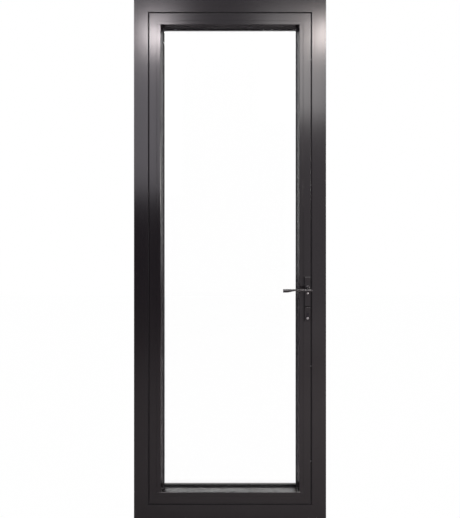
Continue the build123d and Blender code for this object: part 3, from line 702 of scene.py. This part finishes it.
@dataclass
class LeverSet:
    """The lever, its plates, the screw through them and the outdoor knob."""

    wardrobe: Wardrobe
    axis_x_mm: float = 356.5
    axis_z_mm: float = 1060.0
    plate_face_y_mm: float = -40.5
    stile_face_y_mm: float = -32.5
    blade_back_y_mm: float = -73.5
    blade_thick_mm: float = 11.0
    blade_left_mm: float = 116.0
    blade_right_mm: float = 15.0
    blade_top_mm: float = 5.5
    blade_tip_mm: float = 14.5
    blade_waist_mm: float = 8.0
    blade_waist_at_mm: float = 58.0
    blade_root_mm: float = 10.5
    blade_corner_mm: float = 2.4
    blade_end_mm: float = 1.2
    blade_steps: int = 40
    blade_end_steps: int = 4
    round_points: int = 48
    neck_mm: float = 9.5
    neck_gap_mm: float = 0.2
    bearing_mm: float = 8.0
    bearing_end_mm: float = -7.6
    boss_mm: float = 3.0
    boss_clear_mm: float = 0.15
    boss_half_mm: Point = (11.6, 17.0)
    boss_top_mm: Point = (9.8, 10.4)
    boss_squareness: float = 0.8
    blade_lean: float = 0.42
    blade_crease: float = -0.1
    plate_half_mm: float = 14.25
    plates_z_mm: tuple[Point, ...] = ((980.0, 1116.0), (911.6, 977.6))
    underlay_mm: Point = (0.9, 0.8)
    screw_drop_mm: float = 19.0
    screw_end_y_mm: float = 36.5
    shank_mm: float = 2.7
    screw: ScrewHead = ScrewHead(4.3, 1.2, Drive.HEX, 1.0)
    knob_start_y_mm: float = 40.5
    knob_mm: float = 25.0
    knob_length_mm: float = 43.9
    knob_points: int = 72
    nodes: tuple[str, ...] = (
        "inner_backplate", "inner_escutcheon", "outer_backplate", "plate_screw", "spindle", "outer_knob",
        "lever_handle")

    def blade_low(self, x: float) -> float:
        """The height of the blade's lower edge.

        Args:
            x: The distance from the spindle, to the left of it.

        Returns:
            The height above the spindle.
        """
        stations = ((-self.blade_right_mm, self.blade_root_mm), (self.neck_mm, self.blade_root_mm),
                    (self.blade_waist_at_mm, self.blade_waist_mm),
                    (self.blade_left_mm - self.blade_tip_mm, self.blade_tip_mm),
                    (self.blade_left_mm, self.blade_tip_mm))
        for (x0, low0), (x1, low1) in zip(stations, stations[1:]):
            if x <= x1:
                t = max(0.0, (x - x0) / (x1 - x0))
                return self.blade_top_mm - (low0 + (low1 - low0) * t * t * (3 - 2 * t))
        return self.blade_top_mm - self.blade_tip_mm

    def blade_ring(self, x: float, shrink: float) -> list[Place]:
        """One section across the blade.

        Args:
            x: The distance from the spindle, to the left of it.
            shrink: How far the section draws in, for the rounded ends.

        Returns:
            Its points, in the door's frame in millimetres.
        """
        low = self.blade_low(x)
        half_z = (self.blade_top_mm - low) / 2 - shrink
        half_y = self.blade_thick_mm / 2 - shrink
        middle_z = self.axis_z_mm + (self.blade_top_mm + low) / 2
        middle_y = self.blade_back_y_mm - self.blade_thick_mm / 2
        corner = max(0.4, self.blade_corner_mm - shrink)
        section = [(y, z) for y, z, _ in rounded_rectangle(half_y, half_z, corner, 0.0)]
        crease = self.blade_crease * half_z
        section.insert(len(section) // 2, (-half_y, crease))
        # Above the crease the room-side face leans back, so that it catches the light from above
        return [(self.axis_x_mm - x, middle_y + y + self.blade_lean * max(0.0, z - crease) * (y < 0),
                 middle_z + z) for y, z in section]

    def lever(self) -> None:
        """Makes the lever: a lofted blade with a dropped tip, on a turned neck."""
        radius, ends = self.blade_end_mm, self.blade_end_steps
        rounding = [(radius * (1 - math.cos(a)), radius * (1 - math.sin(a)))
                    for a in [math.pi / 2 * k / ends for k in range(ends + 1)]]
        right, left = -self.blade_right_mm, self.blade_left_mm
        rings = [self.blade_ring(right + run, inset) for run, inset in rounding]
        straight, steps = left - right - 2 * radius, self.blade_steps
        rings += [self.blade_ring(right + radius + straight * k / steps, 0.0) for k in range(1, steps)]
        rings += [self.blade_ring(left - run, inset) for run, inset in reversed(rounding)]
        mesh = LoftedMesh("lever_blade_and_neck")
        mesh.add(rings, Matrix.Scale(MM, 4))
        start = self.plate_face_y_mm - self.neck_gap_mm
        length = start - self.blade_back_y_mm
        neck, bearing = self.neck_mm, self.bearing_mm
        end = length + 0.55 * self.blade_thick_mm
        profile = [(bearing, self.bearing_end_mm), (bearing, self.boss_mm + 0.3)]
        profile += softened([(neck - 0.3, self.boss_mm + 0.3), (neck, self.boss_mm + 0.8), (neck, 9.0),
                             (neck - 1.0, 0.5 * length), (neck - 1.3, 0.75 * length), (neck - 0.8, length),
                             (neck - 1.2, end - 1.2), (0.55 * neck, end), (0.1, end)], steps=3)
        place = facing((self.axis_x_mm, start, self.axis_z_mm), (0, -1, 0))
        mesh.add(turned(profile, self.round_points), place)
        mesh.finish("handles", self.wardrobe, "handle_coat", "lever", ["lever_handle"], 40.0)

    def boss_and_underlays(self) -> None:
        """Makes the raised boss round the neck, and the thin plastic sheets that the two plates lie on."""
        (wide, tall), (top_wide, top_tall), count = self.boss_half_mm, self.boss_top_mm, self.round_points
        rings = []
        for share, height in ((0.0, SEAT_MM), (0.06, 0.5), (0.5, 0.62 * self.boss_mm), (1.0, self.boss_mm)):
            half_x, half_z = wide + (top_wide - wide) * share, tall + (top_tall - tall) * share
            # Powers of the cosine and the sine below 1 square the oval up
            rings.append([(half_x * math.copysign(abs(math.cos(a)) ** self.boss_squareness, math.cos(a)),
                           half_z * math.copysign(abs(math.sin(a)) ** self.boss_squareness, math.sin(a)),
                           height) for a in round_angles(count)])
        hole = self.bearing_mm + self.boss_clear_mm
        rings += turned([(hole, self.boss_mm), (hole, SEAT_MM)], count)
        boss = LoftedMesh("plate_boss")
        boss.add(rings, towards_room((self.axis_x_mm, self.plate_face_y_mm, self.axis_z_mm)), hollow=True)
        boss.finish("handles", self.wardrobe, "handle_coat", "leaf", (), 24.0)
        sheets = LoftedMesh("plate_underlays")
        margin, thick = self.underlay_mm
        for low, high in self.plates_z_mm:
            half_z = (high - low) / 2 + margin / 2
            outline = [rounded_rectangle(self.plate_half_mm + margin, half_z, 1.0, h) for h in (0.0, thick)]
            sheets.add(outline, towards_room((self.axis_x_mm, self.stile_face_y_mm, (low + high) / 2)))
        sheets.finish("handles", self.wardrobe, "epdm", "leaf")

    def plate_screw(self) -> None:
        """Makes the long screw whose head shows on the room-side plate."""
        at = (self.axis_x_mm, self.plate_face_y_mm, self.axis_z_mm - self.screw_drop_mm)
        length = self.screw_end_y_mm - self.plate_face_y_mm
        shank, neck = self.shank_mm, self.shank_mm + 0.25
        profile = [(shank - 0.8, -length), (shank, -length + 1.0), (shank, -2.0), (neck, -1.6), (neck, 0.0)]
        mesh = LoftedMesh("plate_through_screw")
        mesh.add(self.screw.rings(profile), facing(at, (0, -1, 0)))
        mesh.finish("handles", self.wardrobe, "stainless", "leaf", ["plate_screw"])

    def knob(self) -> None:
        """Makes the turned outdoor knob."""
        stem, rim, length = self.neck_mm, self.knob_mm, self.knob_length_mm
        profile = softened([(stem + 1.5, SEAT_MM), (stem + 1.5, 1.5), (stem, 3.0), (stem - 0.6, 10.0),
                            (stem, 18.0), (0.6 * rim, 26.0), (0.9 * rim, 32.0), (rim, 36.5), (rim, 39.0),
                            (rim - 1.2, 42.0), (rim - 4.0, 43.6), (0.5 * rim, length), (0.1, length)],
                           steps=4)
        mesh = LoftedMesh("turned_outdoor_knob")
        place = facing((self.axis_x_mm, self.knob_start_y_mm, self.axis_z_mm), (0, 1, 0))
        mesh.add(turned(profile, self.knob_points), place)
        mesh.finish("handles", self.wardrobe, "handle_coat", "leaf", ["outer_knob"], 50.0)

    def build(self) -> None:
        """Dresses the plates and makes the lever, the boss, the sheets, the screw and the knob."""
        self.wardrobe.dress("handles", self.nodes)
        self.lever()
        self.boss_and_underlays()
        self.plate_screw()
        self.knob()


@dataclass
class LockGear:
    """The lock in the stile's edge: case, rods, cams, bolt and cylinder, and what they meet on the jamb."""

    wardrobe: Wardrobe
    axis_x_mm: float = 356.5
    gear_y_mm: float = -18.25
    leaf_edge_x_mm: float = 372.0
    strike_x_mm: float = 382.0
    keeper_floor_x_mm: float = 383.0
    cams_mm: tuple[tuple[float, int], ...] = ((1537.0, 1), (2120.0, 1), (700.0, -1), (260.0, -1))
    cam_mm: float = 4.5
    cam_reach_mm: float = 9.0
    cam_root_mm: float = 2.4
    cam_points: int = 36
    hexagon_mm: float = 2.4
    keeper_from_cam_mm: float = 5.7
    keeper_length_mm: float = 46.0
    keeper_screw_shares: Point = (0.22, 0.78)
    bolt_z_mm: float = 965.0
    strike_screw_mm: float = 31.0
    face_ends_mm: Point = (896.0, 1103.0)
    cylinder_z_mm: float = 926.0
    cylinder_screw_z_mm: float = 945.5
    cylinder_ends_y_mm: Point = (-42.0, 43.0)
    plug_mm: float = 6.4
    plug_points: int = 64
    plug_bevel_mm: Point = (1.3, 1.5)
    keyway_mm: Point = (0.8, 3.75)
    keyway_depth_mm: float = 6.0
    nose_mm: Place = (3.0, 9.6, 8.9)
    keeper_screw: ScrewHead = ScrewHead(2.8, 0.6, Drive.CROSS, 0.5)
    plate_screw: ScrewHead = ScrewHead(3.4, 0.6, Drive.CROSS, 0.5)
    cylinder_head: ScrewHead = ScrewHead(3.2, 0.6, Drive.SLOT, 0.5)
    nodes: tuple[str, ...] = (
        "lock_case", "lock_faceplate", "cylinder_body", "cylinder_screw", "cylinder_plug", "deadbolt",
        "drive_pinion", "upper_drive_rod", "lower_drive_rod", "upper_rod_cams", "lower_rod_cams", "keepers",
        "deadbolt_strike")

    def cams(self, name: str, direction: int, body: str, node: str) -> None:
        """Makes the headed cams of one rod, each with the hexagon that adjusts it.

        Args:
            name: The piece's name.
            direction: 1 for the upper rod, -1 for the lower.
            body: The body that carries them.
            node: The CAD node that they stand for.
        """
        mesh = LoftedMesh(name)
        radius, reach = self.cam_mm, self.cam_reach_mm
        profile = [(radius - 0.2, -self.cam_root_mm), (radius - 0.2, 1.0), (radius - 1.1, 1.5),
                   (radius - 1.1, reach - 4.6), (radius, reach - 4.0), (radius, reach - 0.6),
                   (radius - 0.5, reach), (0.6 * radius, reach)]
        rings = turned(profile, self.cam_points)
        rings += [Drive.HEX.ring(0.42 * radius, height, self.cam_points)
                  for height in (reach, reach - self.hexagon_mm)]
        for height, way in self.cams_mm:
            if way == direction:
                mesh.add(rings, facing((self.leaf_edge_x_mm, self.gear_y_mm, height), (1, 0, 0)))
        mesh.finish("lock", self.wardrobe, "zinced_steel", body, [node])

    def small_screws(self) -> None:
        """Makes the screws of the keepers, the strike and the faceplate."""
        on_jamb = LoftedMesh("keeper_and_strike_screws")
        for cam, way in self.cams_mm:
            for share in self.keeper_screw_shares:
                z = cam + way * (self.keeper_from_cam_mm + share * self.keeper_length_mm)
                at = (self.keeper_floor_x_mm, self.gear_y_mm, z)
                on_jamb.add(self.keeper_screw.rings(), facing(at, (-1, 0, 0)))
        for step in (-1, 1):
            at = (self.strike_x_mm, self.gear_y_mm, self.bolt_z_mm + step * self.strike_screw_mm)
            on_jamb.add(self.plate_screw.rings(), facing(at, (-1, 0, 0)))
        on_jamb.finish("lock", self.wardrobe, "zinced_steel", "frame")
        on_face = LoftedMesh("faceplate_screws")
        for z in self.face_ends_mm:
            at = (self.leaf_edge_x_mm, self.gear_y_mm, z)
            on_face.add(self.plate_screw.rings(), facing(at, (1, 0, 0)))
        at = (self.leaf_edge_x_mm, self.gear_y_mm, self.cylinder_screw_z_mm)
        on_face.add(self.cylinder_head.rings(), facing(at, (1, 0, 0)))
        on_face.finish("lock", self.wardrobe, "stainless", "leaf")

    def keyway_ring(self, height: float, count: int) -> list[Place]:
        """The outline of the keyway, with the sideways bend that keeps a plain blade out.

        Args:
            height: Its place along the plug.
            count: Its count of points.

        Returns:
            Its points.
        """
        half_x, half_z = self.keyway_mm
        ring = []
        for angle in round_angles(count):
            reach = min(half_x / max(abs(math.cos(angle)), 1e-6), half_z / max(abs(math.sin(angle)), 1e-6))
            z = reach * math.sin(angle)
            ring.append((reach * math.cos(angle) + 0.35 * math.sin(1.1 * z), z, height))
        return ring

    def plug(self) -> None:
        """Makes the turning plug: a bevelled face with a keyway at each end, and the cam at its middle."""
        radius, depth, count = self.plug_mm, self.keyway_depth_mm, self.plug_points
        low, high = self.cylinder_ends_y_mm
        half = (high - low) / 2
        rings = [self.keyway_ring(-half + depth, count), self.keyway_ring(-half, count)]
        bevel, run = self.plug_bevel_mm
        rim = [(radius - bevel - 0.4, half), (radius - bevel, half - 0.3), (radius, half - run)]
        rings += turned([(r, -h) for r, h in rim] + rim[::-1], count)
        rings += [self.keyway_ring(half, count), self.keyway_ring(half - depth, count)]
        mesh = LoftedMesh("cylinder_turning_plug")
        mesh.add(rings, facing((self.axis_x_mm, (low + high) / 2, self.cylinder_z_mm), (0, 1, 0)))
        nose_x, nose_y, reach = self.nose_mm
        nose = [rounded_rectangle(nose_x, nose_y / 2, 1.0, height) for height in (0.0, reach - 1)]
        nose.append(rounded_rectangle(nose_x - 1, nose_y / 2 - 1, 0.6, reach))
        mesh.add(nose, facing((self.axis_x_mm, self.gear_y_mm, self.cylinder_z_mm), (0, 0, -1)))
        mesh.finish("lock", self.wardrobe, "nickel", "key_plug", ["cylinder_plug"])

    def build(self) -> None:
        """Dresses the lock and makes its small pieces."""
        self.wardrobe.dress("lock", self.nodes)
        self.cams("upper_headed_cams", 1, "upper_rods", "upper_rod_cams")
        self.cams("lower_headed_cams", -1, "lower_rods", "lower_rod_cams")
        self.small_screws()
        self.plug()


# Studio and camera


@dataclass(frozen=True)
class SoftLamp:
    """A rectangular soft lamp, with its place, its aim and its size in metres."""

    name: str
    place: Place
    aim: Place
    size: Point
    watts: float
    colour: str
    through_glass: bool = False

    def build(self) -> None:
        """Hangs the lamp; the camera doesn't see it, but gloss does."""
        data = bpy.data.lights.new(self.name, "AREA")
        data.shape = "RECTANGLE"
        data.size, data.size_y = self.size
        data.energy = self.watts
        data.color = linear_from_hex(self.colour)[:3]
        lamp = bpy.data.objects.new(self.name, data)
        lamp.location = self.place
        lamp.rotation_euler = (Vector(self.aim) - Vector(self.place)).to_track_quat("-Z", "Y").to_euler()
        lamp.visible_camera = False
        lamp.visible_transmission = self.through_glass
        bpy.context.scene.collection.objects.link(lamp)
        LOG.info("studio: %s, %.0f W", self.name, self.watts)


@dataclass
class Studio:
    """A plain pale floor, a white surround that is dimmer towards the room, and soft lamps.

    The floor's sizes are in metres. Each range holds the two values of a direction's Z or Y between which
    the surround's level changes.
    """

    floor_half: float = 6.0
    floor_drop: float = 0.0004
    floor_cells: int = 6
    surround: float = 0.2
    room: float = 0.16
    ceiling: float = 0.52
    ceiling_range: Point = (-0.02, 0.3)
    outdoors: Point = (0.5, 1.7)
    outdoors_range: Point = (-0.3, 0.4)
    doorway_range: Point = (-0.35, 0.25)
    room_tint: str = "#EADCFB"
    floor: StudioFloor = StudioFloor("matt_floor_paper", "#CFCACB", "#D9D4D5", 40.0, 0.995)
    lamps: tuple[SoftLamp, ...] = (
        SoftLamp("spot_left", (-0.765, -3.03, 3.137), (-0.765, 0.0, 3.137), (0.16, 0.16), 7.8, "#FFF5F7"),
        SoftLamp("spot_right", (0.953, -3.03, 3.150), (0.953, 0.0, 3.150), (0.16, 0.16), 8.2, "#FFF2EE"),
        SoftLamp("panel_left", (-0.85, -3.05, 2.53), (-0.85, 0.0, 2.53), (0.64, 1.94), 10.4, "#FCF7FF"),
        SoftLamp("panel_right", (0.68, -3.05, 2.83), (0.68, 0.0, 2.83), (0.75, 1.01), 14.0, "#FFFBFB"),
        SoftLamp("window_right", (0.85, -3.05, 1.18), (0.85, 0.0, 1.18), (0.6, 2.36), 3.0, "#FFF8FB"),
        SoftLamp("floor_light_right", (2.2, -1.5, 1.7), (0.6, -1.1, 0.0), (0.8, 0.8), 62.0, "#FFF9F7"),
        SoftLamp("canopy_light", (0.0, 1.5, 3.5), (0.0, 1.4, 0.0), (1.5, 1.1), 15.0, "#FFFFFF", True),
        SoftLamp("overhead_light", (0.1, -0.5, 3.6), (0.1, -0.5, 0.0), (1.6, 1.0), 20.0, "#FFFFFF"),
    )

    def lay_floor(self) -> None:
        """Lays the floor just under the sill, as part of the stage."""
        half, z = self.floor_half, -self.floor_drop
        mesh = bmesh.new()
        bmesh.ops.create_grid(mesh, x_segments=self.floor_cells, y_segments=self.floor_cells, size=half)
        bmesh.ops.translate(mesh, vec=(0, 0, z), verts=mesh.verts)
        data = bpy.data.meshes.new("studio_floor")
        mesh.to_mesh(data)
        mesh.free()
        data.materials.append(self.floor.build())
        floor = bpy.data.objects.new("studio_floor", data)
        bpy.context.scene.collection.objects.link(floor)
        LOG.info("studio: floor laid, %.1f m square", 2 * half)

    def ramp(self, tree: bpy.types.NodeTree, part: Socket, span: Point, ends: Point, kind: str) -> Socket:
        """Gives a level that runs from one end to the other over a span of one part of a direction."""
        settings = {"interpolation_type": kind, "From Min": span[0], "From Max": span[1], "To Min": ends[0],
                    "To Max": ends[1]}
        return add_node(tree, "ShaderNodeMapRange", settings, {"Value": part}).outputs["Result"]

    def light_world(self) -> None:
        """Lights from all round: white to the camera and through glass, dimmer towards the room in gloss."""
        world = bpy.data.worlds.new("studio_world")
        bpy.context.scene.world = world
        world.use_nodes = True
        tree = world.node_tree
        tree.nodes.clear()
        way = add_node(tree, "ShaderNodeTexCoord").outputs["Generated"]
        parts = add_node(tree, "ShaderNodeSeparateXYZ", links={0: way})
        levels = (self.room, self.ceiling)
        front = self.ramp(tree, parts.outputs["Z"], self.ceiling_range, levels, "SMOOTHSTEP")
        back = self.ramp(tree, parts.outputs["Y"], self.doorway_range, (0.0, 1.0), "SMOOTHSTEP")
        outdoors = self.ramp(tree, parts.outputs["Z"], self.outdoors_range, self.outdoors, "LINEAR")
        gloss = add_node(tree, "ShaderNodeMix", {"data_type": "FLOAT"}, {0: back, 2: front, 3: outdoors})
        path = add_node(tree, "ShaderNodeLightPath")
        soft = add_node(tree, "ShaderNodeMix", {"data_type": "FLOAT", 2: self.surround}, {
            0: path.outputs["Is Glossy Ray"], 3: gloss.outputs[0]})
        level = add_node(tree, "ShaderNodeMix", {"data_type": "FLOAT", 3: 1.0}, {
            0: seen_straight(tree), 2: soft.outputs[0]})
        tint = add_node(tree, "ShaderNodeMix", {"data_type": "RGBA", 6: linear_from_hex(self.room_tint),
                                                7: linear_from_hex("#FFFFFF")}, {0: level.outputs[0]})
        sky = add_node(tree, "ShaderNodeBackground", links={"Color": tint.outputs[2],
                                                            "Strength": level.outputs[0]})
        add_node(tree, "ShaderNodeOutputWorld", links={"Surface": sky.outputs["Background"]})

    def build(self) -> None:
        """Builds the floor, the lamps and the world."""
        bpy.context.scene.view_settings.view_transform = "Standard"
        self.lay_floor()
        self.light_world()
        for lamp in self.lamps:
            lamp.build()


@dataclass(frozen=True)
class PhotoCamera:
    """The photograph's camera: level, at eye height in front of the door, in a frame of 460 by 518."""

    place: Place = (0.0186, -2.5365, 1.4576)
    focal_px: float = 543.7
    width_px: float = 460.0
    height_px: float = 518.0
    axis_column_px: float = 234.05
    axis_row_px: float = 202.5
    sensor_mm: float = 36.0

    def build(self) -> None:
        """Sets the camera, with the small shift that keeps the door's uprights parallel."""
        data = bpy.data.cameras.new("photo_camera")
        data.sensor_fit = "HORIZONTAL"
        data.sensor_width = self.sensor_mm
        data.lens = self.focal_px / self.width_px * self.sensor_mm
        data.shift_x = (self.width_px / 2 - self.axis_column_px) / self.width_px
        data.shift_y = (self.axis_row_px - self.height_px / 2) / self.width_px
        camera = bpy.data.objects.new("photo_camera", data)
        camera.location = self.place
        camera.rotation_euler = (math.pi / 2, 0, 0)
        bpy.context.scene.collection.objects.link(camera)
        bpy.context.scene.camera = camera
        LOG.info("camera: lens %.2f mm", data.lens)


def main() -> None:
    """Builds the sub-assemblies in order, then the studio and the camera."""
    logging.basicConfig(level=logging.INFO, format="%(name)s %(message)s")
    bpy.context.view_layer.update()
    wardrobe = Wardrobe(frame["record"])
    for assembly in (OuterFrame, Leaf, Glazing, Hinges, LeverSet, LockGear):
        assembly(wardrobe).build()
    Studio().build()
    PhotoCamera().build()


if __name__ == "__main__":
    main()
